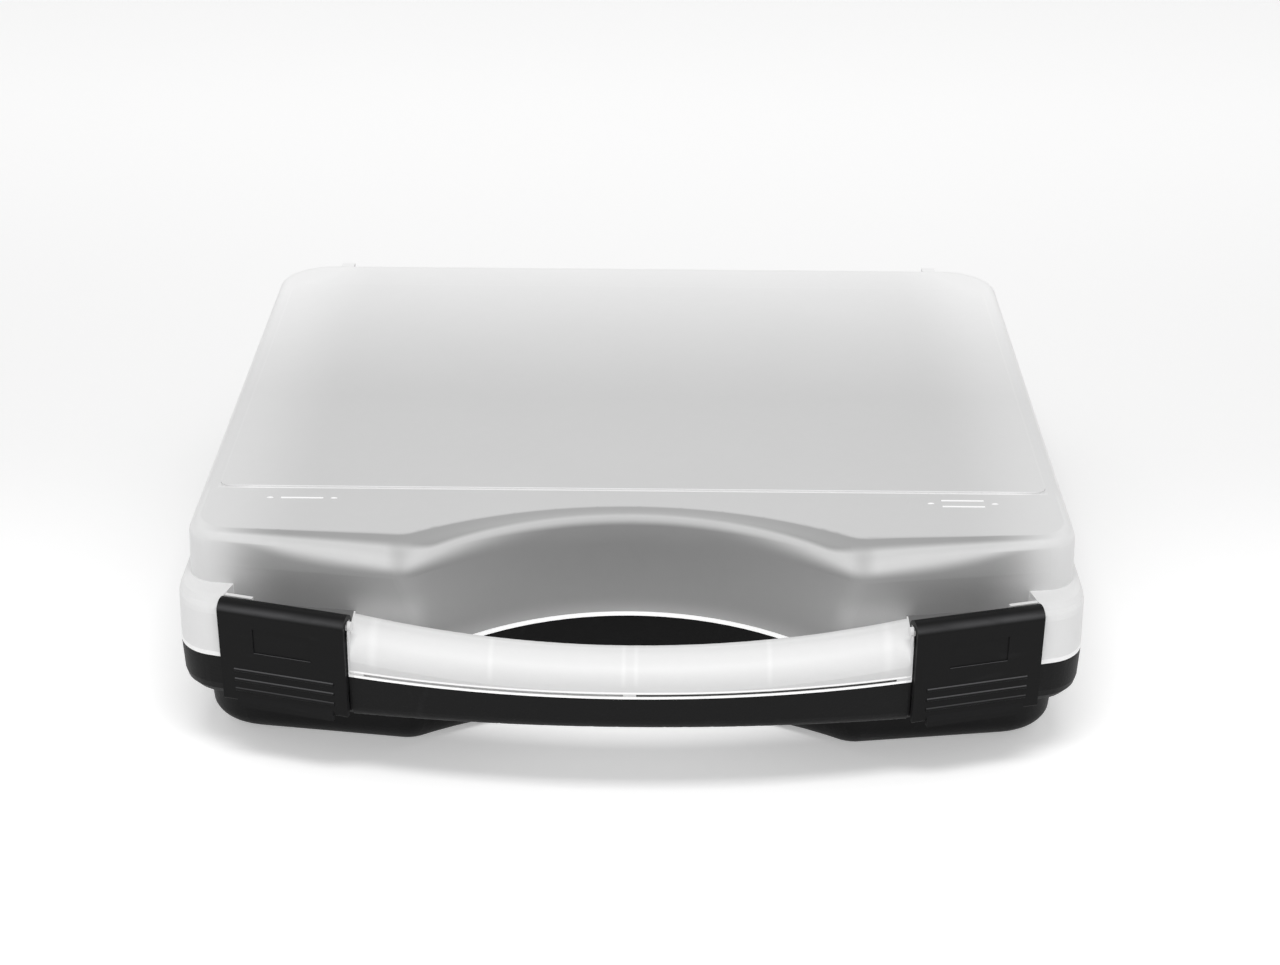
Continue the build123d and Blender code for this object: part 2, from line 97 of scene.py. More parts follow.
# How far, in millimetres, a grey reaches past the form that it belongs to, or stays clear of the next
GRIP_REACH = 0.5
RIM_REACH = 0.25
LUG_REACH = 1.0
ROOM_REACH = 1.0
CREASE_REACH = 1.0
FLOOR_CLEAR = 0.3
MARK_CLEAR = 2.0


# Sizes and colours that can be changed

class FrostedLid(bpy.types.PropertyGroup):
    """Greys of the frosted lid, as shares of white, which carry its painted light and shade, and its
    surface.
    """

    top: bpy.props.FloatProperty(
        name="Top", description="Grey of the lid's top at its front", default=0.585, subtype="FACTOR")
    # Painted light: the top is paler towards its rear edge and its side edges.
    rear_gain: bpy.props.FloatProperty(
        name="Rear gain", description="How much lighter the top is at its rear edge",
        default=0.31, subtype="FACTOR")
    side_gain: bpy.props.FloatProperty(
        name="Side gain", description="How much lighter the top is at its side edges",
        default=0.11, subtype="FACTOR")
    # Painted shade: the walls behind the handle are darker, as over the dark inside.
    wall: bpy.props.FloatProperty(
        name="Front wall",
        description="Grey of the walls behind the handle, with the dark inside behind them",
        default=0.265, subtype="FACTOR")
    # Painted shade: a dark line where the front edge starts to turn.
    edge_line: bpy.props.FloatProperty(
        name="Edge line", description="Grey of the dark line where the front edge starts to turn",
        default=0.33, subtype="FACTOR")
    # Painted highlights: the light bands along the arch and along the shoulders.
    arch_glow: bpy.props.FloatProperty(
        name="Arch glow", description="Grey of the light band along the arch",
        default=0.54, subtype="FACTOR")
    edge_glow: bpy.props.FloatProperty(
        name="Edge glow", description="Grey of the light band along the shoulders",
        default=0.70, subtype="FACTOR")
    rim: bpy.props.FloatProperty(
        name="Rim", description="Grey of the hollow rim", default=0.875, subtype="FACTOR")
    handle: bpy.props.FloatProperty(
        name="Handle", description="Grey of the handle", default=0.845, subtype="FACTOR")
    # Painted glow, as emission, on the lid's thin lower edges.
    lip_glow: bpy.props.FloatProperty(
        name="Lip glow", description="Light that the clear plastic carries to its thin lower edge",
        default=0.30, subtype="FACTOR")
    roughness: bpy.props.FloatProperty(
        name="Roughness", description="Roughness of the frosted surface", default=0.46, subtype="FACTOR")
    grain: bpy.props.FloatProperty(
        name="Grain", description="Size of the frosted grain",
        default=0.0004, subtype="DISTANCE", unit="LENGTH")


class BlackBase(bpy.types.PropertyGroup):
    """Finish of the black base."""

    colour: bpy.props.FloatVectorProperty(
        name="Colour", description="Colour of the black plastic",
        default=(0.0058, 0.0058, 0.006), subtype="COLOR")
    roughness: bpy.props.FloatProperty(
        name="Roughness", description="Roughness of the grained surface", default=0.5, subtype="FACTOR")
    grain: bpy.props.FloatProperty(
        name="Grain", description="Size of the moulded grain",
        default=0.0007, subtype="DISTANCE", unit="LENGTH")


class SnapLatches(bpy.types.PropertyGroup):
    """Finish of the two latches."""

    colour: bpy.props.FloatVectorProperty(
        name="Colour", description="Colour of the latches",
        default=(0.0058, 0.0058, 0.006), subtype="COLOR")
    roughness: bpy.props.FloatProperty(
        name="Roughness", description="Roughness of the satin surface", default=0.36, subtype="FACTOR")
    grain: bpy.props.FloatProperty(
        name="Grain", description="Size of the moulded grain",
        default=0.00045, subtype="DISTANCE", unit="LENGTH")
    # Painted highlight on the narrow edges that face up.
    ledge_highlight: bpy.props.FloatProperty(
        name="Ledge", description="How many times paler the plastic is on the narrow edges that face up",
        default=15.0)
    # Painted highlight along the barrel, broken up by streaks.
    barrel_sheen: bpy.props.FloatProperty(
        name="Barrel sheen",
        description="How many times paler the plastic is along the rubbed band of the barrel",
        default=11.0)


class CutFoam(bpy.types.PropertyGroup):
    """Finish and form of the foam in the base and under the lid."""

    dark: bpy.props.FloatVectorProperty(
        name="Dark foam", description="Colour of the insert and of the layer under it",
        default=(0.035, 0.035, 0.038), subtype="COLOR")
    pale: bpy.props.FloatVectorProperty(
        name="Pale foam", description="Colour of the pad under the lid",
        default=(0.50, 0.50, 0.49), subtype="COLOR")
    pore: bpy.props.FloatProperty(
        name="Pore", description="Size of the foam's cells",
        default=0.0013, subtype="DISTANCE", unit="LENGTH")
    cut_edge: bpy.props.FloatProperty(
        name="Cut edge", description="Softening of the cut edges",
        default=0.0012, subtype="DISTANCE", unit="LENGTH")
    peak_pitch: bpy.props.FloatProperty(
        name="Peak pitch", description="Distance between the lid pad's peaks",
        default=0.026, subtype="DISTANCE", unit="LENGTH")
    peak_height: bpy.props.FloatProperty(
        name="Peak height", description="Height of the lid pad's peaks",
        default=0.0075, subtype="DISTANCE", unit="LENGTH")


class MouldedMarks(bpy.types.PropertyGroup):
    """Small raised marks on the front of the lid's top, over the latches."""

    offset: bpy.props.FloatProperty(
        name="Offset", description="Distance of each mark from the middle",
        default=0.1053, subtype="DISTANCE", unit="LENGTH")
    back: bpy.props.FloatProperty(
        name="Place", description="Place of the marks from front to back",
        default=-0.0745, subtype="DISTANCE", unit="LENGTH")
    bar: bpy.props.FloatProperty(
        name="Bar", description="Length of a bar", default=0.0135, subtype="DISTANCE", unit="LENGTH")
    gap: bpy.props.FloatProperty(
        name="Gap", description="Distance between two bars",
        default=0.0040, subtype="DISTANCE", unit="LENGTH")
    nub: bpy.props.FloatProperty(
        name="Nub", description="Distance of each nub from the mark's middle",
        default=0.0102, subtype="DISTANCE", unit="LENGTH")
    thickness: bpy.props.FloatProperty(
        name="Thickness", description="Radius of a bar's rounding",
        default=0.00035, subtype="DISTANCE", unit="LENGTH")


class Stage(bpy.types.PropertyGroup):
    """Camera, floor and lamps."""

    camera_place: bpy.props.FloatVectorProperty(
        name="Camera", description="Place of the camera",
        default=(0.0059, -0.7226, 0.4166), subtype="TRANSLATION", unit="LENGTH")
    pitch: bpy.props.FloatProperty(
        name="Pitch", description="How far the camera looks down",
        default=radians(27.37), subtype="ANGLE")
    yaw: bpy.props.FloatProperty(
        name="Yaw", description="How far the camera looks to the right",
        default=radians(-0.31), subtype="ANGLE")
    roll: bpy.props.FloatProperty(
        name="Roll", description="How far the camera leans", default=radians(-0.39), subtype="ANGLE")
    lens: bpy.props.FloatProperty(name="Lens", description="Focal length in millimetres", default=64.69)
    floor: bpy.props.FloatVectorProperty(
        name="Floor", description="Colour of the floor", default=(0.90, 0.90, 0.90), subtype="COLOR")
    lift: bpy.props.FloatProperty(
        name="Lift", description="How much paler the floor is to the camera",
        default=0.14, subtype="FACTOR")
    # Painted light: the floor is paler still in front of the case.
    front_lift: bpy.props.FloatProperty(
        name="Front lift", description="How much paler still the floor is in front of the case",
        default=0.30, subtype="FACTOR")
    sky: bpy.props.FloatProperty(name="Sky", description="Strength of the even light", default=0.60)
    key: bpy.props.FloatProperty(
        name="Key", description="Power of the lamp over the case",
        default=5.0, subtype="POWER", unit="POWER")


# Nodes

class Socket:
    """An output of a node that plain arithmetic can be written with."""

    def __init__(self, nodes, output):
        self.nodes = nodes
        self.output = output

    def other(self, name):
        """Another output of the same node."""
        return Socket(self.nodes, self.output.node.outputs[name])

    def math(self, operation, *values):
        """The result of a Math node on these values."""
        inputs = dict(enumerate(values))
        return self.nodes.make("ShaderNodeMath", inputs, operation=operation)

    def __add__(self, other):
        return self.math("ADD", self, other)

    def __radd__(self, other):
        return self.math("ADD", other, self)

    def __sub__(self, other):
        return self.math("SUBTRACT", self, other)

    def __rsub__(self, other):
        return self.math("SUBTRACT", other, self)

    def __mul__(self, other):
        return self.math("MULTIPLY", self, other)

    def __rmul__(self, other):
        return self.math("MULTIPLY", other, self)

    def __truediv__(self, other):
        return self.math("DIVIDE", self, other)

    def __pow__(self, other):
        return self.math("POWER", self, other)

    def __abs__(self):
        return self.math("ABSOLUTE", self)

    def highest(self, other):
        return self.math("MAXIMUM", self, other)

    def lowest(self, other):
        return self.math("MINIMUM", self, other)

    def over(self, limit):
        """1 over the limit, else 0."""
        return self.math("GREATER_THAN", self, limit)

    def under(self, limit):
        """1 under the limit, else 0."""
        return self.math("LESS_THAN", self, limit)

    def cosine(self):
        return self.math("COSINE", self)

    def step(self, start, end):
        """0 before start, 1 after end, and a smooth change between them."""
        inputs = {"Value": self, "From Min": start, "From Max": end}
        return self.nodes.make("ShaderNodeMapRange", inputs, interpolation_type="SMOOTHSTEP")

    def bump(self, middle, reach):
        """1 at the middle, falling smoothly to 0 at its reach."""
        return abs(self - middle).step(reach, 0.0)

    def mix(self, other, share):
        """This value, going over to the other by the share."""
        return self + (other - self) * share

    def swing(self, width):
        """A change of this width that follows a noise, half of it down and half up."""
        return (self - 0.5) * width


class NodeTree:
    """Makes and links the nodes of one tree."""

    def __init__(self, tree):
        self.tree = tree
        tree.nodes.clear()

    def make(self, kind, inputs=None, out=0, **settings):
        """A new node with its settings and inputs, as the socket of one of its outputs.

        An input is a value, a socket to link, or a list of sockets that all join there.
        """
        node = self.tree.nodes.new(kind)
        for name, value in settings.items():
            setattr(node, name, value)
        for name, value in (inputs or {}).items():
            if isinstance(value, Socket):
                self.tree.links.new(value.output, node.inputs[name])
            elif isinstance(value, list):
                for part in value:
                    self.tree.links.new(part.output, node.inputs[name])
            else:
                node.inputs[name].default_value = value
        return Socket(self, node.outputs[out] if node.outputs else None)

    def coordinates(self, output="Object"):
        """The place on the piece, or another kind of coordinate."""
        return self.make("ShaderNodeTexCoord", out=output)

    def split(self, vector):
        """The three parts of a vector."""
        first = self.make("ShaderNodeSeparateXYZ", {0: vector})
        return [first.other(part) for part in "XYZ"]

    def grey(self, value):
        """A colour from one grey."""
        return self.make("ShaderNodeCombineColor", {"Red": value, "Green": value, "Blue": value})

    def tinted(self, colour, tone):
        """A colour, made paler or darker by a tone."""
        inputs = {0: tuple(colour), "Scale": tone}
        return self.make("ShaderNodeVectorMath", inputs, operation="SCALE")

    def noise(self, size, detail=2.0, stretch=None):
        """Noise whose features are about this size, in metres."""
        place = self.coordinates()
        if stretch is not None:
            place = self.make("ShaderNodeMapping", {"Vector": place, "Scale": stretch})
        inputs = {"Vector": place, "Scale": 1 / size, "Detail": detail}
        return self.make("ShaderNodeTexNoise", inputs, out="Fac")

    def cells(self, size):
        """Distance from the middle of cells of this size, in metres."""
        inputs = {"Vector": self.coordinates(), "Scale": 1 / size}
        return self.make("ShaderNodeTexVoronoi", inputs, out="Distance")

    def relief(self, height, distance, strength=1.0, over=None):
        """A bumped normal from a height."""
        inputs = {"Height": height, "Distance": distance, "Strength": strength}
        if over is not None:
            inputs["Normal"] = over
        return self.make("ShaderNodeBump", inputs)


def new_finish(name):
    """An empty material and the maker of its nodes."""
    material = bpy.data.materials.new(name)
    material.use_nodes = True
    return material, NodeTree(material.node_tree)


def close_finish(nodes, constants, **varying):
    """Ends a material in a Principled shader with its constants and varying inputs."""
    inputs = dict(constants)
    inputs.update({name.replace("_", " "): value for name, value in varying.items()})
    shader = nodes.make("ShaderNodeBsdfPrincipled", inputs)
    nodes.make("ShaderNodeOutputMaterial", {"Surface": shader})


# Greys of the lid's front, painted light and shade. A pair is where a change starts and where it is full.

# Millimetres from the middle
SHOULDER_FADE = (60.0, 72.0)
CORNER_FADE = (106.0, 137.0)
WEDGE_SIDE = (128.0, 108.0)
LIT_WALL_INSIDE = (62.0, 69.0)
LIT_WALL_OUTSIDE = (89.5, 86.5)
PALE_FOOT_SIDE = (72.0, 66.0)
LATE_BAND_SIDE = (88.0, 122.0)

# Millimetres over the floor
WALL_HEIGHT = (66.0, 42.0)
WEDGE_FOOT = (61.0, 65.0)
WEDGE_HEAD = (73.0, 70.0)
LIT_WALL_HEIGHT = (59.0, 49.0)
PALE_FOOT_HEIGHT = (47.0, SEAM)

# Middle and reach, in millimetres, of the dip in the light band where the shoulder starts
SHOULDER_DIP = (71.5, 5.0)

# How far the edge has turned where its light band starts and where it is full, each given for the
# arch's middle, the arch's ends and the shoulders
BAND_START = (0.05, 0.00, 0.08)
BAND_FULL = (0.52, 0.38, 0.40)
LATE_START = 0.10

# How far it has turned where the band fades, where the dark line starts, and where the top begins
BAND_FALL = (0.45, 0.75)
LINE_START = 0.62
LINE_DROP_AT_ENDS = 0.14
LINE_RISE_ON_SHOULDERS = 0.26
LINE_SPREAD = 0.18
TOP_TURN = (0.972, 0.999)

# Greys as shares of white, and how strongly one takes over from another
SHOULDER_GAIN = 0.03
WALL_GAIN = 0.11
LIT_WALL = 0.50
LIT_WALL_SHARE = 0.9
PALE_FOOT = 0.60
CORNER_WALL = 0.80
WEDGE_SHARE = 0.75
CORNER_GLOW = 0.76
DIP_SHARE = 0.20
FALL_SHARE = 0.16
MIDDLE_LINE_GAIN = 0.04

# Share of its radius up to which an edge's slope is followed
STEEPEST = 0.9999


def edge_slope(z, radius):
    """Slope of an edge of this radius at a height: 0 at the foot of its rounding, steep at the flat top."""
    rise = (z - (FLAT_TOP - radius)).highest(0.0).lowest(radius * STEEPEST)
    return rise / (radius ** 2 - rise * rise) ** 0.5


def shoulder_share(side):
    """How far a place is along the arch: 0 in its middle, 1 from the shoulder on."""
    return (side / SHOULDER_X).lowest(1.0) ** 2.0


def front_turn(side, z):
    """How far the lid's rounded front edge has turned: 0 on the wall, 1 on the flat top."""
    out = ((side - SHOULDER_X) / (CORNER_X - SHOULDER_X)).highest(0.0).lowest(1.0)
    slope = edge_slope(z, ARCH_ROUND).mix(edge_slope(z, SHOULDER_ROUND), shoulder_share(side))
    slope = slope.mix(edge_slope(z, CORNER_ROUND), out)
    return slope / (slope * slope + 1.0) ** 0.5


def along_front(values, bend, beyond):
    """Goes from a value for the arch's middle to one for its ends, and on to one for the shoulders."""
    middle, arch_end, shoulder = values
    return (middle + (arch_end - middle) * bend).mix(shoulder, beyond)


def front_greys(look, top, side, z):
    """Greys of the front walls and of the edge over them, which bends light towards the eye, painted as
    light and shade.
    """
    bend = shoulder_share(side)
    beyond = side.step(*SHOULDER_FADE)
    corner = side.step(*CORNER_FADE)
    wedge = z.step(*WEDGE_FOOT) * z.step(*WEDGE_HEAD) * side.step(*WEDGE_SIDE)
    behind_grip = z.step(*LIT_WALL_HEIGHT) * side.step(*LIT_WALL_INSIDE) * side.step(*LIT_WALL_OUTSIDE)
    foot = z.step(*PALE_FOOT_HEIGHT) * side.step(*PALE_FOOT_SIDE)
    # Painted shade darkens the walls, less so towards the shoulders and lower down. Painted light gives a
    # lit patch behind the handle's ends, a paler foot along the arch and paler corners. A wedge of painted
    # shade sits under the edge near each corner.
    wall = look.wall + SHOULDER_GAIN * (bend + beyond) + WALL_GAIN * z.step(*WALL_HEIGHT)
    wall = wall.mix(LIT_WALL, LIT_WALL_SHARE * behind_grip).mix(PALE_FOOT, foot * foot)
    wall = wall.mix(CORNER_WALL, corner * (1.0 - WEDGE_SHARE * wedge))

    turn = front_turn(side, z)
    # Painted highlight: a light band along the rounded edge, with a dip where the shoulder starts and a
    # fade towards the top on the shoulders.
    glow = look.arch_glow + (look.edge_glow - look.arch_glow) * bend
    glow = glow * (1.0 - DIP_SHARE * side.bump(*SHOULDER_DIP))
    glow = glow * (1.0 - FALL_SHARE * beyond * turn.step(*BAND_FALL))
    start = along_front(BAND_START, bend, beyond) + LATE_START * side.step(*LATE_BAND_SIDE)
    full = along_front(BAND_FULL, bend, beyond)
    edge = wall.mix(glow.mix(CORNER_GLOW, corner), turn.step(start, full))

    # Painted shade: a dark line where the edge starts to turn.
    line_start = LINE_START - LINE_DROP_AT_ENDS * bend + LINE_RISE_ON_SHOULDERS * beyond
    line = (turn - line_start).step(0.0, LINE_SPREAD) * (1.0 - corner)
    edge = edge.mix(look.edge_line + MIDDLE_LINE_GAIN * (1.0 - bend), line)
    return edge.mix(top, turn.step(*TOP_TURN))


# Greys of the handle. Lengths are in millimetres.

# Distance from the middle and half width of each rib that shows through
GRIP_RIBS = ((1.9, 1.1), (42.5, 1.3), (79.0, 2.4))
RIB_HEIGHT = (40.5, 43.0)
RIB_GAIN = 0.05

# Painted shade: the front of the handle is darker towards the slot
GRIP_SHADE_HEIGHT = (47.0, 39.5)
GRIP_SHADE_DEPTH = 4.0
GRIP_SHADE = 0.14

# Painted light and shade inside the slot: it looks pale left of the middle and dark right of it
SLOT_FACE = 0.35
SLOT_REACH = 0.05
SLOT_LEFT = 0.80
SLOT_RIGHT = 0.16


def grip_greys(look, x, y, z):
    """Greys of the handle: ribs show through as soft lines, painted shade darkens its front towards the
    slot that runs along its lower edge, and the slot is painted pale on the left and dark on the right.
    """
    side = abs(x)
    front = x * x * (GRIP_BOW / GRIP_HALF ** 2) + GRIP_FRONT
    ribs = sum(side.bump(place, half_width) for place, half_width in GRIP_RIBS)
    grip = look.handle + RIB_GAIN * ribs * z.step(*RIB_HEIGHT)
    # Painted shade on the handle's front towards the slot.
    grip = grip * (1.0 - GRIP_SHADE * z.step(*GRIP_SHADE_HEIGHT) * y.under(front + GRIP_SHADE_DEPTH))
    # Painted light and shade inside the slot.
    in_slot = z.over(SLOT_LOW - SLOT_REACH) * z.under(SLOT_HIGH + SLOT_REACH)
    sunk = y.over(front + SLOT_FACE) * in_slot
    return grip.mix(SLOT_LEFT + (SLOT_RIGHT - SLOT_LEFT) * x.over(0.0), sunk)


def grip_and_rim(side, y, z):
    """1 on the handle, and 1 on the hollow rim, its lugs and the rooms behind the latches."""
    grip_back = side * side * (GRIP_BACK_BOW / GRIP_HALF ** 2) + GRIP_BACK
    end_wall = side * END_WALL_SLOPE + END_WALL
    is_grip = y.under(grip_back.lowest(end_wall)) * side.under(GRIP_HALF + GRIP_REACH)
    end_out, end_back = side - GRIP_HALF, y - (GRIP_FRONT + GRIP_BOW)
    along = end_out * cos(LATCH_TILT) + end_back * sin(LATCH_TILT)
    inward = end_back * cos(LATCH_TILT) - end_out * sin(LATCH_TILT)
    is_block = along.over(LATCH_END).highest(y.over(RIM_BACK))
    is_lug = along.over(LATCH_END - LUG_LENGTH - LUG_REACH) * inward.under(LUG_DEPTH)
    is_lug = is_lug * z.over(WELL_FLOOR + FLOOR_CLEAR)
    is_room = along.over(-ROOM_REACH) * inward.under(ROOM_DEPTH) * z.under(LATCH_PLATE_TOP)
    is_rim = is_block.highest(is_lug).highest(is_room) * z.under(RIM_TOP + RIM_REACH) * side.over(RIM_START)
    return is_grip, is_rim


# Greys of the rest of the lid. A pair is where a change starts and where it is full.

# Millimetres from the middle, or from front to back, and how steeply the top's grey rises to its rear
TOP_SIDE = (100.0, 137.0)
REAR_CURVE = 1.3
FRONT_DEPTH = (-62.0, -72.0)
FRONT_END = (141.0, 134.0)

# How much a face looks up or forward, from -1 to 1
WALL_SLOPE = (0.97, 0.55)
FACES_FRONT = (-0.25, 0.0)
NOT_UNDER = (-0.3, -0.1)
RIM_SLOPE = (0.3, 0.9)
SHELF_SLOPE = 0.6
LIP_SLOPE = -0.5

# Painted highlight along the raised panel's edge, strongest at its front: its fade in millimetres, and how
# much paler it is
CREASE = (0.6, 0.25)
CREASE_DEPTH = 0.5
CREASE_GAIN = 0.02
FRONT_CREASE_GAIN = 0.25
FRONT_CREASE_SIDE = (136.0, 120.0)

# Moulded marks, painted bright as a highlight and given a painted glow: the height in millimetres over the
# flat top from which they are bright, and their glow
MARK_RISE = 0.03
MARK_GLOW = 0.08

# Greys as shares of white
PLAIN_WALL = 0.88
RIM_FALL = 0.10
SHELF_SHADE = 0.16
BRIGHT = 0.92
BRIGHTEST = 0.94

# Height of the shelf over the rim, and of the bright lips over the seam and the slot, in millimetres
SHELF_RISE = 3.0
LIP_HEIGHT = 0.7
SLOT_LIP = (0.45, 0.5)
LIP_SHARE = 0.9

# How strongly a lip's painted glow shows on the arch, the handle and the rim
ARCH_LIP = 1.6
GRIP_LIP = 1.0
RIM_LIP = 0.4

# Sizes, in metres, and strengths of the clouds in the frosted plastic
FLOW_SIZE = 0.035
FLOW_SWING = 0.03
MOTTLE_SIZE = 0.004
MOTTLE_SWING = 0.02
MOTTLE_RELIEF = 0.00004
FROST_RELIEF = 0.00003

PLASTIC_IOR = 1.49
GRAIN_ROUGHNESS = 0.12


def frosted_finish(look):
    """Frosted lid whose greys are painted light and shade: pale where it is hollow or lit from behind,
    darker over the dark inside.
    """
    material, nodes = new_finish("frosted lid")
    x, y, z = (part * (1 / MM) for part in nodes.split(nodes.coordinates()))
    facing = nodes.split(nodes.coordinates("Normal"))
    side = abs(x)
    level, forward = facing[2], 0.0 - facing[1]

    # Painted light: the top grows paler towards its rear and its sides.
    rear = (y / REAR_EDGE).highest(0.0) ** REAR_CURVE
    top = look.top + look.rear_gain * rear + look.side_gain * side.step(*TOP_SIDE)
    plain = top.mix(PLAIN_WALL, level.step(*WALL_SLOPE))
    outside = forward.step(*FACES_FRONT) * level.step(*NOT_UNDER)
    at_front = y.step(*FRONT_DEPTH) * side.step(*FRONT_END) * outside
    body = plain.mix(front_greys(look, top, side, z), at_front)

    # Painted highlight along the edge of the raised panel, most along its front.
    panel_line = abs((side - PANEL_SIDE).highest(PANEL_FRONT - y).highest(y - PANEL_REAR))
    crease = panel_line.step(*CREASE) * z.over(FLAT_TOP - CREASE_DEPTH)
    front_crease = y.under(PANEL_FRONT + CREASE_REACH) * side.step(*FRONT_CREASE_SIDE)
    body = body.mix(top + CREASE_GAIN + FRONT_CREASE_GAIN * front_crease, crease)
    # Painted highlight and painted glow on the moulded marks.
    mark = z.over(FLAT_TOP + MARK_RISE) * y.under(PANEL_FRONT - MARK_CLEAR)
    body = body.mix(BRIGHT, mark)

    is_grip, is_rim = grip_and_rim(side, y, z)
    # Painted shade: the rim's faces that look up are darker.
    rim = look.rim - RIM_FALL * level.step(*RIM_SLOPE)
    # Painted shade: the shelf over the rim behind the latches is dark.
    shelf = level.over(SHELF_SLOPE) * z.under(RIM_TOP + SHELF_RISE) * side.over(RIM_START) * at_front
    grey = body.mix(SHELF_SHADE, shelf).mix(rim, is_rim).mix(grip_greys(look, x, y, z), is_grip)

    # Painted light: the thin lower edges and the lip over the slot are painted bright and given a painted
    # glow.
    slot_rise, slot_reach = SLOT_LIP
    over_slot = z.bump(SLOT_HIGH + slot_rise, slot_reach) * is_grip
    lowest_edge = z.under(SLOT_LOW + LIP_HEIGHT * (1.0 - is_grip)) * level.over(LIP_SLOPE)
    lip = lowest_edge.highest(over_slot)
    grey = grey.mix(BRIGHT, lip * LIP_SHARE)
    glow = (ARCH_LIP + (GRIP_LIP - ARCH_LIP) * is_grip).mix(RIM_LIP, is_rim)

    grain = nodes.noise(look.grain, 3.0)
    mottle = nodes.noise(MOTTLE_SIZE, 2.0)
    flow = nodes.noise(FLOW_SIZE, 3.0)
    grey = grey * (1.0 + flow.swing(FLOW_SWING)) * (1.0 + mottle.swing(MOTTLE_SWING))
    relief = nodes.relief(mottle, MOTTLE_RELIEF)
    relief = nodes.relief(grain, FROST_RELIEF, over=relief)
    close_finish(
        nodes,
        {"IOR": PLASTIC_IOR, "Specular IOR Level": 0.45, "Emission Strength": 1.0},
        Base_Color=nodes.grey(grey.lowest(BRIGHTEST)),
        Roughness=look.roughness + grain.swing(GRAIN_ROUGHNESS),
        Emission_Color=nodes.grey(lip * look.lip_glow * glow + mark * MARK_GLOW),
        Normal=relief,
    )
    return material


# Finish of the black base: its scuffs, long in one direction, and its grain

SCUFF_SIZE = 0.012
SCUFF_STRETCH = (1.0, 6.0, 1.0)
SCUFF_SPREAD = (0.60, 0.72)
SCUFF_GAIN = 0.6
SCUFF_POLISH = 0.05
BASE_GRAIN_SWING = 0.4
BASE_GRAIN_RELIEF = 0.00008


def black_finish(look):
    """Grained black plastic with faint scuffs."""
    material, nodes = new_finish("black grained plastic")
    grain = nodes.noise(look.grain, 4.0)
    scuff = nodes.noise(SCUFF_SIZE, 6.0, SCUFF_STRETCH).step(*SCUFF_SPREAD)
    tone = 1.0 + grain.swing(BASE_GRAIN_SWING) + SCUFF_GAIN * scuff
    close_finish(
        nodes,
        {"IOR": PLASTIC_IOR, "Specular IOR Level": 0.13},
        Base_Color=nodes.tinted(look.colour, tone),
        Roughness=look.roughness + grain.swing(GRAIN_ROUGHNESS) - SCUFF_POLISH * scuff,
        Normal=nodes.relief(grain, BASE_GRAIN_RELIEF),
    )
    return material


# Finish of the latches: rubbed spots, a painted highlight along the barrel with streaks in it, and painted
# highlights that make the slopes paler

RUB_SIZE = 0.006
RUB_STRETCH = (0.3, 1.0, 1.6)
RUB_SPREAD = (0.58, 0.75)
RUB_GAIN = 0.5
RUB_POLISH = 0.05
STREAK_SIZE = 0.004
STREAK_STRETCH = (0.12, 1.0, 1.0)
STREAK_SPREAD = (0.25, 0.7)
STREAK_SHARE = 0.5
BARREL_SLOPE = (0.50, 0.42)
LEDGE_SLOPE = (0.30, 0.75)
FLANK_SLOPE = (0.6, 0.9)
FLANK_GAIN = 2.5
RIDGE_REACH = 2.0
LOW_RIDGE_HIGHLIGHT_CUT = 0.5
LATCH_GRAIN_SWING = 0.3
LATCH_GRAIN_ROUGHNESS = 0.10
LATCH_GRAIN_RELIEF = 0.00003


def latch_finish(look):
    """Satin black plastic, finer than the base, with painted highlights as paler lines on the edges that
    face up and along the barrel.
    """
    material, nodes = new_finish("satin black latch")
    z = nodes.split(nodes.coordinates())[2] * (1 / MM)
    across, back, level = nodes.split(nodes.coordinates("Normal"))
    grain = nodes.noise(look.grain, 3.0)
    rub = nodes.noise(RUB_SIZE, 5.0, RUB_STRETCH).step(*RUB_SPREAD)
    streak = nodes.noise(STREAK_SIZE, 4.0, STREAK_STRETCH).step(*STREAK_SPREAD)
    is_plate = z.under(LATCH_PLATE_TOP)
    # Painted highlight: a paler band on the barrel's slope that faces up and forward, broken up by streaks.
    band = level.bump(*BARREL_SLOPE) * z.over(LATCH_PLATE_TOP) * back.under(0.0)
    # Painted highlight on the slopes that face up, weaker on the lowest ridge.
    ledge_highlight = level.step(*LEDGE_SLOPE) * is_plate * (1.0 - LOW_RIDGE_HIGHLIGHT_CUT * z.bump(LOWEST_RIDGE, RIDGE_REACH))
    # Painted light on the faces that look sideways, such as the window's side walls, to lift their shade.
    flank = abs(across).step(*FLANK_SLOPE) * is_plate
    tone = 1.0 + grain.swing(LATCH_GRAIN_SWING) + RUB_GAIN * rub + look.ledge_highlight * ledge_highlight + FLANK_GAIN * flank
    tone = tone + look.barrel_sheen * band * (1.0 - STREAK_SHARE * (1.0 - streak))
    close_finish(
        nodes,
        {"IOR": PLASTIC_IOR, "Specular IOR Level": 0.10},
        Base_Color=nodes.tinted(look.colour, tone),
        Roughness=look.roughness + grain.swing(LATCH_GRAIN_ROUGHNESS) - RUB_POLISH * rub,
        Normal=nodes.relief(grain, LATCH_GRAIN_RELIEF),
    )
    return material


# Finish of the hinge pins: fine lines along the wire

LINE_SIZE = 0.0004
LINE_STRETCH = (0.06, 1.0, 1.0)
LINE_RELIEF = 0.00001
STEEL_GREY = 0.59
STEEL_SWING = 0.14
STEEL_ROUGHNESS = 0.32
STEEL_ROUGHNESS_SWING = 0.16


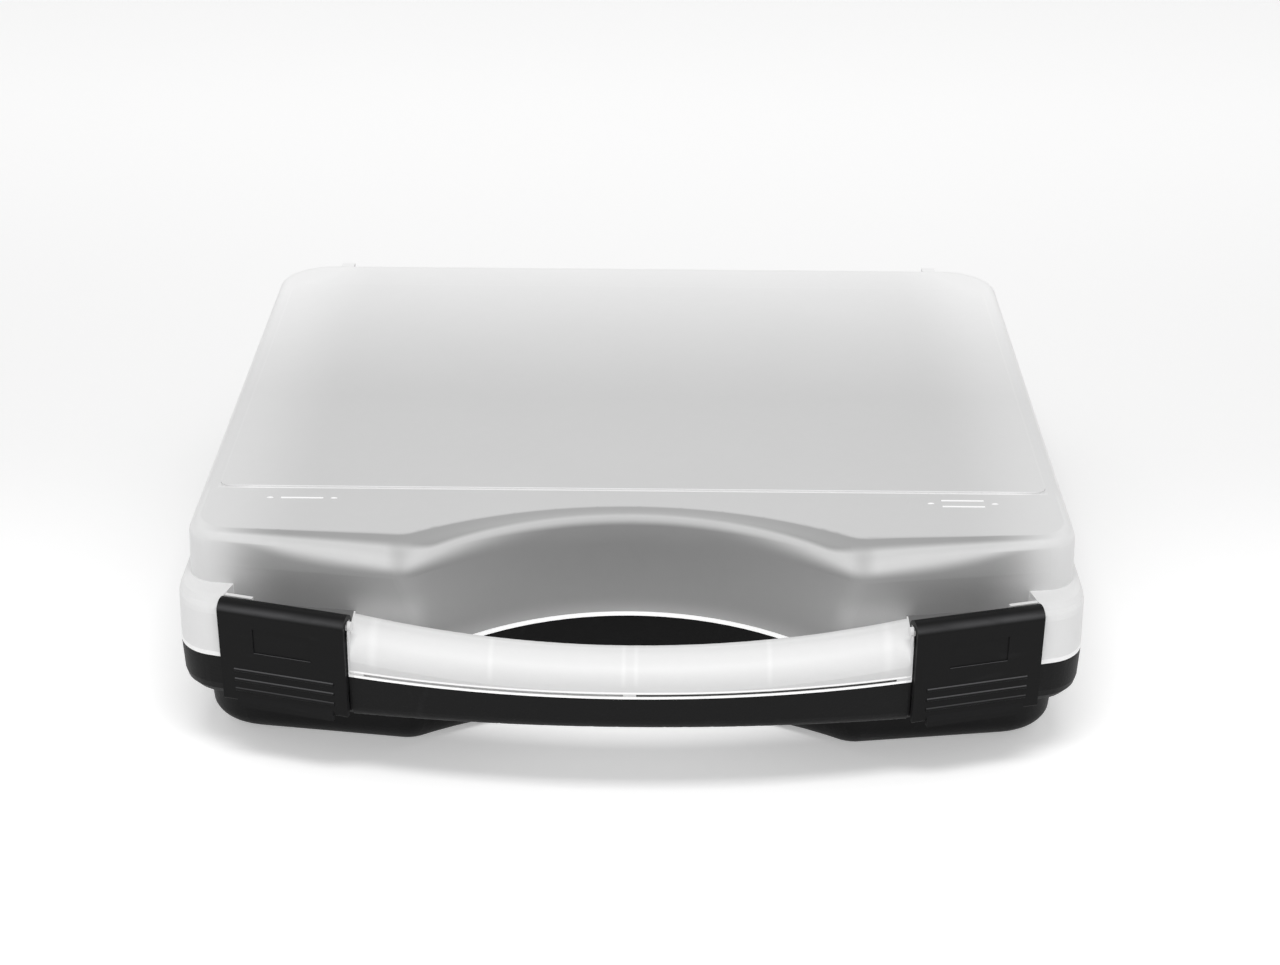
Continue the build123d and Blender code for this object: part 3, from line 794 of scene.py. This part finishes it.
def steel_finish():
    """Drawn steel wire with fine lines along it."""
    material, nodes = new_finish("drawn steel pin")
    lines = nodes.noise(LINE_SIZE, 4.0, LINE_STRETCH)
    close_finish(
        nodes,
        {"Metallic": 1.0},
        Base_Color=nodes.grey(STEEL_GREY + lines.swing(STEEL_SWING)),
        Roughness=STEEL_ROUGHNESS + lines.swing(STEEL_ROUGHNESS_SWING),
        Normal=nodes.relief(lines, LINE_RELIEF),
    )
    return material


# Finish of the foams: large and small pits, as distances from their middles, and a mottle

SMALL_PORE = 0.45
PIT_WALL = (0.05, 0.65)
SMALL_PIT_WALL = (0.05, 0.6)
PIT_SHADE = 0.38
SMALL_PIT_SHADE = 0.15
PIT_RELIEF = 0.00035
PIT_STRENGTH = 0.8
SMALL_PIT_RELIEF = 0.00012
SMALL_PIT_STRENGTH = 0.7
FOAM_MOTTLE_SIZE = 0.01
FOAM_MOTTLE_SWING = 0.2
FOAM_ROUGHNESS = 0.93
FOAM_ROUGHNESS_SWING = 0.1


def foam_finish(name, colour, pore):
    """Open-cell foam: pits between its cells, and a soft mottle."""
    material, nodes = new_finish(name)
    pits = nodes.cells(pore).step(*PIT_WALL)
    small = nodes.cells(pore * SMALL_PORE)
    mottle = nodes.noise(FOAM_MOTTLE_SIZE, 3.0)
    tone = 1.0 - PIT_SHADE * (1.0 - pits)
    tone = tone * (1.0 - SMALL_PIT_SHADE * (1.0 - small.step(*SMALL_PIT_WALL)))
    tone = tone * (1.0 + mottle.swing(FOAM_MOTTLE_SWING))
    relief = nodes.relief(pits, PIT_RELIEF, PIT_STRENGTH)
    relief = nodes.relief(small, SMALL_PIT_RELIEF, SMALL_PIT_STRENGTH, relief)
    close_finish(
        nodes,
        {"IOR": 1.4, "Specular IOR Level": 0.15, "Sheen Weight": 0.15, "Sheen Roughness": 0.6},
        Base_Color=nodes.tinted(colour, tone),
        Roughness=FOAM_ROUGHNESS + mottle.swing(FOAM_ROUGHNESS_SWING),
        Normal=relief,
    )
    return material


# Meshes

# Edges of a foam block that bend less than the first are dissolved, and more than the second softened
FLAT_ANGLE = radians(1.0)
CUT_ANGLE = radians(40.0)
CUT_SEGMENTS = 3

# How far the lid's pad stays inside its room at its sides and at its top
PAD_CLEAR = 0.2 * MM
PAD_TOP_CLEAR = 0.1 * MM


def show(mesh, name, material):
    """A new object for a mesh, in the scene, with its material."""
    piece = bpy.data.objects.new(name, mesh)
    bpy.context.scene.collection.objects.link(piece)
    mesh.materials.clear()
    mesh.materials.append(material)
    return piece


def finished(piece):
    """The piece, with its modifiers worked into its mesh."""
    graph = bpy.context.evaluated_depsgraph_get()
    mesh = bpy.data.meshes.new_from_object(piece.evaluated_get(graph), depsgraph=graph)
    piece.modifiers.clear()
    piece.data = mesh
    return piece


def joined_faces(node, keep_normals=True):
    """A welded copy of a node's loose triangles, with the node's own smooth and sharp shading."""
    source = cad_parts[node].data
    shape = bmesh.new()
    shape.from_mesh(source)
    shape.verts.ensure_lookup_table()
    doubles = bmesh.ops.find_doubles(shape, verts=shape.verts, dist=WELD)["targetmap"]
    kept = {double.index: target.index for double, target in doubles.items()}
    shape.free()
    used = sorted({kept.get(index, index) for index in range(len(source.vertices))})
    places = {index: place for place, index in enumerate(used)}
    faces, normals = [], []
    for face in source.polygons:
        corners = [places[kept.get(index, index)] for index in face.vertices]
        if len(set(corners)) == len(corners):
            faces.append(corners)
            normals += [source.corner_normals[loop].vector[:] for loop in face.loop_indices]
    mesh = bpy.data.meshes.new(node + " copy")
    mesh.from_pydata([source.vertices[index].co[:] for index in used], [], faces)
    mesh.shade_smooth()
    if keep_normals:
        mesh.normals_split_custom_set(normals)
    return mesh


def dressed(node, name, material, body):
    """A smooth copy of a moulded node that stands for it."""
    piece = show(joined_faces(node), name, material)
    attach(piece, body)
    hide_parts(node)
    return piece


def soft_block(node, name, material, body, edge):
    """A cut foam block with softened edges that stands for its node."""
    mesh = joined_faces(node, keep_normals=False)
    shape = bmesh.new()
    shape.from_mesh(mesh)
    bmesh.ops.dissolve_limit(
        shape, angle_limit=FLAT_ANGLE, verts=shape.verts, edges=shape.edges, use_dissolve_boundaries=False)
    shape.to_mesh(mesh)
    shape.free()
    piece = show(mesh, name, material)
    soften = piece.modifiers.new("softened cut", "BEVEL")
    soften.width = edge
    soften.segments = CUT_SEGMENTS
    soften.limit_method = "ANGLE"
    soften.angle_limit = CUT_ANGLE
    soften.harden_normals = False
    normals = piece.modifiers.new("even shading", "WEIGHTED_NORMAL")
    normals.keep_sharp = False
    finished(piece)
    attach(piece, body)
    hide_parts(node)
    return piece


# Geometry node trees

def new_geometry_tree(name, inputs):
    """A geometry tree with named inputs, its maker, and the sockets of its inputs."""
    tree = bpy.data.node_groups.new(name, "GeometryNodeTree")
    tree.interface.new_socket("Geometry", in_out="OUTPUT", socket_type="NodeSocketGeometry")
    for label, kind in inputs.items():
        tree.interface.new_socket(label, in_out="INPUT", socket_type=kind)
    nodes = NodeTree(tree)
    entry = nodes.make("NodeGroupInput")
    return tree, nodes, {label: entry.other(label) for label in inputs}


def close_geometry_tree(nodes, geometry, material):
    """Ends a tree in real geometry with its material."""
    real = nodes.make("GeometryNodeRealizeInstances", {"Geometry": geometry})
    coloured = nodes.make("GeometryNodeSetMaterial", {"Geometry": real, "Material": material})
    nodes.make("NodeGroupOutput", {0: coloured})


def grown(tree, name, values):
    """The mesh that a tree makes with these values, as a finished piece."""
    piece = bpy.data.objects.new(name, bpy.data.meshes.new(name))
    bpy.context.scene.collection.objects.link(piece)
    modifier = piece.modifiers.new(tree.name, "NODES")
    modifier.node_group = tree
    for item in tree.interface.items_tree:
        if item.in_out == "INPUT":
            modifier[item.identifier] = values[item.name]
    return finished(piece)


# How far the front edge of the pad draws in at its sides, as a share of how far the rear edge does
PAD_CORNER_SHARE = 0.6


def egg_crate_tree():
    """A foam pad cut to the lid's room, its lower face a field of rounded peaks."""
    length = "NodeSocketFloat"
    tree, nodes, given = new_geometry_tree("egg crate pad", {
        "Half Width": length, "Rear": length, "Corner": length, "Arch": length, "Shoulder": length,
        "Shoulder Reach": length, "Rear Radius": length, "Lower": length, "Upper": length,
        "Pitch": length, "Peak Height": length, "Material": "NodeSocketMaterial",
    })
    grid = nodes.make("GeometryNodeMeshGrid", {
        "Size X": 1.0, "Size Y": 1.0, "Vertices X": 190, "Vertices Y": 160}, out="Mesh")
    across, along, _ = nodes.split(nodes.make("GeometryNodeInputPosition"))
    x = across * 2.0 * given["Half Width"]
    side = abs(x)
    beyond = (side - (given["Half Width"] - given["Rear Radius"])).highest(0.0)
    inward = given["Rear Radius"] - (given["Rear Radius"] ** 2.0 - beyond * beyond).highest(0.0) ** 0.5
    rear = given["Rear"] - inward
    reach = (side / given["Shoulder Reach"]).lowest(1.0)
    arch = given["Arch"].mix(given["Shoulder"], reach * reach)
    out = ((side - given["Shoulder Reach"]) / (given["Half Width"] - given["Shoulder Reach"])).highest(0.0)
    front = arch.mix(given["Corner"], out) + inward * PAD_CORNER_SHARE
    y = front + (along + 0.5) * (rear - front)
    wave = (x * (2 * pi) / given["Pitch"]).cosine() * ((y * (2 * pi)) / given["Pitch"]).cosine()
    z = given["Lower"] + given["Peak Height"] * (0.5 - 0.5 * wave)
    waved = nodes.make("ShaderNodeCombineXYZ", {"X": x, "Y": y, "Z": z})
    lower = nodes.make("GeometryNodeSetPosition", {"Geometry": grid, "Position": waved})
    upward = nodes.make("ShaderNodeCombineXYZ", {"Z": 1.0})
    walls = nodes.make("GeometryNodeExtrudeMesh", {
        "Mesh": lower, "Offset": upward, "Offset Scale": 0.02, "Individual": False}, out="Mesh")
    at_x, at_y, _ = nodes.split(nodes.make("GeometryNodeInputPosition"))
    level = nodes.make("ShaderNodeCombineXYZ", {"X": at_x, "Y": at_y, "Z": given["Upper"]})
    closed = nodes.make("GeometryNodeSetPosition", {
        "Geometry": walls, "Selection": walls.other("Top"), "Position": level})
    under = nodes.make("GeometryNodeFlipFaces", {"Mesh": lower})
    both = nodes.make("GeometryNodeJoinGeometry", {"Geometry": [closed, under]})
    whole = nodes.make("GeometryNodeMergeByDistance", {"Geometry": both, "Distance": WELD})
    smooth = nodes.make("GeometryNodeSetShadeSmooth", {"Geometry": whole, "Shade Smooth": True})
    close_geometry_tree(nodes, smooth, given["Material"])
    return tree


# A nub is thicker than a bar by the first, and longer than it is thick by the second
NUB_GIRTH = 1.1
NUB_STRETCH = 2.9


def mark_tree():
    """A mark of one or two rounded bars, with a short nub at each side."""
    length = "NodeSocketFloat"
    tree, nodes, given = new_geometry_tree("moulded mark", {
        "Centre": "NodeSocketVector", "Bar": length, "Gap": length, "Bars": "NodeSocketInt",
        "Nub": length, "Radius": length, "Material": "NodeSocketMaterial",
    })
    half = given["Bar"] * 0.5
    start = nodes.make("ShaderNodeCombineXYZ", {"X": 0.0 - half})
    end = nodes.make("ShaderNodeCombineXYZ", {"X": half})
    line = nodes.make("GeometryNodeCurvePrimitiveLine", {"Start": start, "End": end})
    ring = nodes.make("GeometryNodeCurvePrimitiveCircle", {"Resolution": 12, "Radius": given["Radius"]})
    bar = nodes.make("GeometryNodeCurveToMesh", {"Curve": line, "Profile Curve": ring, "Fill Caps": True})
    middle = given["Gap"] * (given["Bars"] - 1.0) * -0.5
    first = nodes.make("ShaderNodeCombineXYZ", {"Y": middle})
    stride = nodes.make("ShaderNodeCombineXYZ", {"Y": given["Gap"]})
    rows = nodes.make("GeometryNodeMeshLine", {
        "Count": given["Bars"], "Start Location": first, "Offset": stride})
    bars = nodes.make("GeometryNodeInstanceOnPoints", {"Points": rows, "Instance": bar})
    left = nodes.make("ShaderNodeCombineXYZ", {"X": 0.0 - given["Nub"]})
    apart = nodes.make("ShaderNodeCombineXYZ", {"X": given["Nub"] * 2.0})
    ends = nodes.make("GeometryNodeMeshLine", {"Count": 2, "Start Location": left, "Offset": apart})
    ball = nodes.make("GeometryNodeMeshIcoSphere", {
        "Radius": given["Radius"] * NUB_GIRTH, "Subdivisions": 3})
    nubs = nodes.make("GeometryNodeInstanceOnPoints", {
        "Points": ends, "Instance": ball, "Scale": (NUB_STRETCH, 1.0, 1.0)})
    both = nodes.make("GeometryNodeJoinGeometry", {"Geometry": [bars, nubs]})
    placed = nodes.make("GeometryNodeTransform", {"Geometry": both, "Translation": given["Centre"]})
    smooth = nodes.make("GeometryNodeSetShadeSmooth", {"Geometry": placed, "Shade Smooth": True})
    close_geometry_tree(nodes, smooth, given["Material"])
    return tree


# One operator for each piece or group of like pieces

class DressLid(bpy.types.Operator):
    """Dresses the lid in frosted plastic."""

    bl_idname = "knife_case.dress_lid"
    bl_label = "Frosted lid"

    def execute(self, context):
        material = frosted_finish(context.scene.frosted_lid)
        dressed("lid_shell", "frosted_lid", material, "lid")
        return {"FINISHED"}


class DressBase(bpy.types.Operator):
    """Dresses the base in black grained plastic."""

    bl_idname = "knife_case.dress_base"
    bl_label = "Black base"

    def execute(self, context):
        material = black_finish(context.scene.black_base)
        dressed("base_shell", "black_base", material, "base")
        return {"FINISHED"}


class DressLatches(bpy.types.Operator):
    """Dresses both snap latches."""

    bl_idname = "knife_case.dress_latches"
    bl_label = "Snap latches"

    def execute(self, context):
        material = latch_finish(context.scene.snap_latches)
        for side in ("left", "right"):
            dressed("latch_" + side, "snap_latch_" + side, material, side + "_latch")
        return {"FINISHED"}


class FinishPins(bpy.types.Operator):
    """Gives the hinge pins their steel."""

    bl_idname = "knife_case.finish_pins"
    bl_label = "Hinge pins"

    def execute(self, context):
        material = steel_finish()
        for side in ("left", "right"):
            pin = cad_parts["hinge_pin_" + side]
            pin.data.materials.clear()
            pin.data.materials.append(material)
        return {"FINISHED"}


class CutInsert(bpy.types.Operator):
    """Makes the foam layer in the base and the insert with the knife cut-outs on it."""

    bl_idname = "knife_case.cut_insert"
    bl_label = "Foam in the base"

    def execute(self, context):
        look = context.scene.cut_foam
        material = foam_finish("dark foam", look.dark, look.pore)
        soft_block("base_foam", "foam_layer", material, "base", look.cut_edge)
        soft_block("knife_insert", "foam_insert", material, "base", look.cut_edge)
        return {"FINISHED"}


class MouldPad(bpy.types.Operator):
    """Makes the egg-crate foam pad under the lid."""

    bl_idname = "knife_case.mould_pad"
    bl_label = "Foam under the lid"

    def execute(self, context):
        look = context.scene.cut_foam
        material = foam_finish("pale foam", look.pale, look.pore)
        pad = grown(egg_crate_tree(), "egg_crate_pad", {
            "Half Width": pad_high.x - PAD_CLEAR,
            "Rear": pad_high.y - PAD_CLEAR,
            "Corner": -0.0935,
            "Arch": -0.0796,
            "Shoulder": -0.1010,
            "Shoulder Reach": 0.068,
            "Rear Radius": 0.0142,
            "Lower": pad_low.z,
            "Upper": pad_high.z - PAD_TOP_CLEAR,
            "Pitch": look.peak_pitch,
            "Peak Height": look.peak_height,
            "Material": material,
        })
        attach(pad, "lid")
        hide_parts("lid_foam")
        return {"FINISHED"}


class MouldMarks(bpy.types.Operator):
    """Makes the small raised marks on the front of the lid's top."""

    bl_idname = "knife_case.mould_marks"
    bl_label = "Moulded marks"

    def execute(self, context):
        look = context.scene.moulded_marks
        material = bpy.data.materials["frosted lid"]
        tree = mark_tree()
        for name, side, bars in (("moulded_mark_left", -1, 1), ("moulded_mark_right", 1, 2)):
            mark = grown(tree, name, {
                "Centre": (side * look.offset, look.back, FLAT_TOP * MM),
                "Bar": look.bar,
                "Gap": look.gap,
                "Bars": bars,
                "Nub": look.nub,
                "Radius": look.thickness,
                "Material": material,
            })
            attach(mark, "lid")
        return {"FINISHED"}


# Places from front to back, in metres, between which the floor grows paler to the front, with painted light
# in front of the case, and to the rear
FLOOR_FRONT = (0.12, -0.22)
FLOOR_REAR = (0.1, 0.6)
FLOOR_HALF = 6.0


def add_lamp(name, place, aim, size, power):
    """An area lamp that looks at a point."""
    lamp = bpy.data.lights.new(name, "AREA")
    lamp.shape = "RECTANGLE"
    lamp.size, lamp.size_y = size
    lamp.energy = power
    holder = bpy.data.objects.new(name, lamp)
    holder.location = place
    holder.rotation_euler = (Vector(aim) - Vector(place)).to_track_quat("-Z", "Y").to_euler()
    bpy.context.scene.collection.objects.link(holder)


def seen_directly(nodes):
    """1 for what the camera sees, itself or in gloss or glass."""
    path = nodes.make("ShaderNodeLightPath")
    seen = path.other("Is Camera Ray")
    for name in ("Is Glossy Ray", "Is Transmission Ray"):
        seen = seen.highest(path.other(name))
    return seen


class SetStage(bpy.types.Operator):
    """Makes the camera, the pale floor and the soft light."""

    bl_idname = "knife_case.set_stage"
    bl_label = "Camera, floor and light"

    def execute(self, context):
        stage = context.scene.case_stage
        scene = context.scene
        ahead = Vector((
            sin(stage.yaw) * cos(stage.pitch), cos(stage.yaw) * cos(stage.pitch), -sin(stage.pitch)))
        right = Vector((cos(stage.yaw), -sin(stage.yaw), 0.0))
        down = ahead.cross(right)
        leaned_right = right * cos(stage.roll) + down * sin(stage.roll)
        leaned_down = down * cos(stage.roll) - right * sin(stage.roll)
        turn = Matrix((leaned_right, -leaned_down, -ahead)).transposed().to_4x4()
        lens = bpy.data.cameras.new("camera")
        lens.sensor_width = 36.0
        lens.lens = stage.lens
        lens.clip_start = 0.01
        camera = bpy.data.objects.new("camera", lens)
        camera.matrix_world = Matrix.Translation(Vector(stage.camera_place)) @ turn
        scene.collection.objects.link(camera)
        scene.camera = camera

        material, nodes = new_finish("pale floor")
        surface = nodes.make("ShaderNodeBsdfPrincipled", {
            "Base Color": (*stage.floor, 1.0), "Roughness": 0.7, "Specular IOR Level": 0.2})
        along = nodes.split(nodes.coordinates())[1]
        # Painted light on the floor in front of the case, on top of its even paleness to the camera.
        gain = stage.lift + stage.front_lift * along.step(*FLOOR_FRONT)
        gain = gain + stage.lift * along.step(*FLOOR_REAR)
        white = nodes.make("ShaderNodeEmission", {
            "Color": nodes.grey(gain), "Strength": seen_directly(nodes)})
        both = nodes.make("ShaderNodeAddShader", {0: surface, 1: white})
        nodes.make("ShaderNodeOutputMaterial", {"Surface": both})
        shape = bmesh.new()
        bmesh.ops.create_grid(shape, x_segments=1, y_segments=1, size=FLOOR_HALF)
        mesh = bpy.data.meshes.new("pale_floor")
        shape.to_mesh(mesh)
        shape.free()
        show(mesh, "pale_floor", material)

        world = bpy.data.worlds.new("soft studio")
        world.use_nodes = True
        nodes = NodeTree(world.node_tree)
        strength = stage.sky + (1.0 - stage.sky) * seen_directly(nodes)
        light = nodes.make("ShaderNodeBackground", {"Color": (1.0, 1.0, 1.0, 1.0), "Strength": strength})
        nodes.make("ShaderNodeOutputWorld", {"Surface": light})
        scene.world = world
        add_lamp(
            "lamp over the case", place=(0.0, -0.45, 1.05), aim=(0.0, 0.0, 0.05), size=(0.60, 0.24),
            power=stage.key)
        scene.view_settings.view_transform = "Standard"
        return {"FINISHED"}


class KnifeCasePanel(bpy.types.Panel):
    """Lists the operators of the knife case."""

    bl_idname = "VIEW3D_PT_knife_case"
    bl_label = "Knife case"
    bl_space_type = "VIEW_3D"
    bl_region_type = "UI"
    bl_category = "Knife case"

    def draw(self, context):
        for operator in OPERATORS:
            self.layout.operator(operator.bl_idname)


GROUPS = {
    "frosted_lid": FrostedLid,
    "black_base": BlackBase,
    "snap_latches": SnapLatches,
    "cut_foam": CutFoam,
    "moulded_marks": MouldedMarks,
    "case_stage": Stage,
}
OPERATORS = (SetStage, DressLid, DressBase, DressLatches, FinishPins, CutInsert, MouldPad, MouldMarks)


def register():
    """Adds the classes, and the groups to the scene."""
    for group in (*GROUPS.values(), *OPERATORS, KnifeCasePanel):
        bpy.utils.register_class(group)
    for name, group in GROUPS.items():
        setattr(bpy.types.Scene, name, bpy.props.PointerProperty(type=group))


def unregister():
    """Takes the groups and classes away again."""
    for name in GROUPS:
        delattr(bpy.types.Scene, name)
    for group in (KnifeCasePanel, *reversed(OPERATORS), *reversed(GROUPS.values())):
        bpy.utils.unregister_class(group)


def main():
    """Builds everything in order."""
    register()
    bpy.ops.knife_case.set_stage()
    bpy.ops.knife_case.dress_lid()
    bpy.ops.knife_case.dress_base()
    bpy.ops.knife_case.dress_latches()
    bpy.ops.knife_case.finish_pins()
    bpy.ops.knife_case.cut_insert()
    bpy.ops.knife_case.mould_pad()
    bpy.ops.knife_case.mould_marks()


if __name__ == "__main__":
    main()
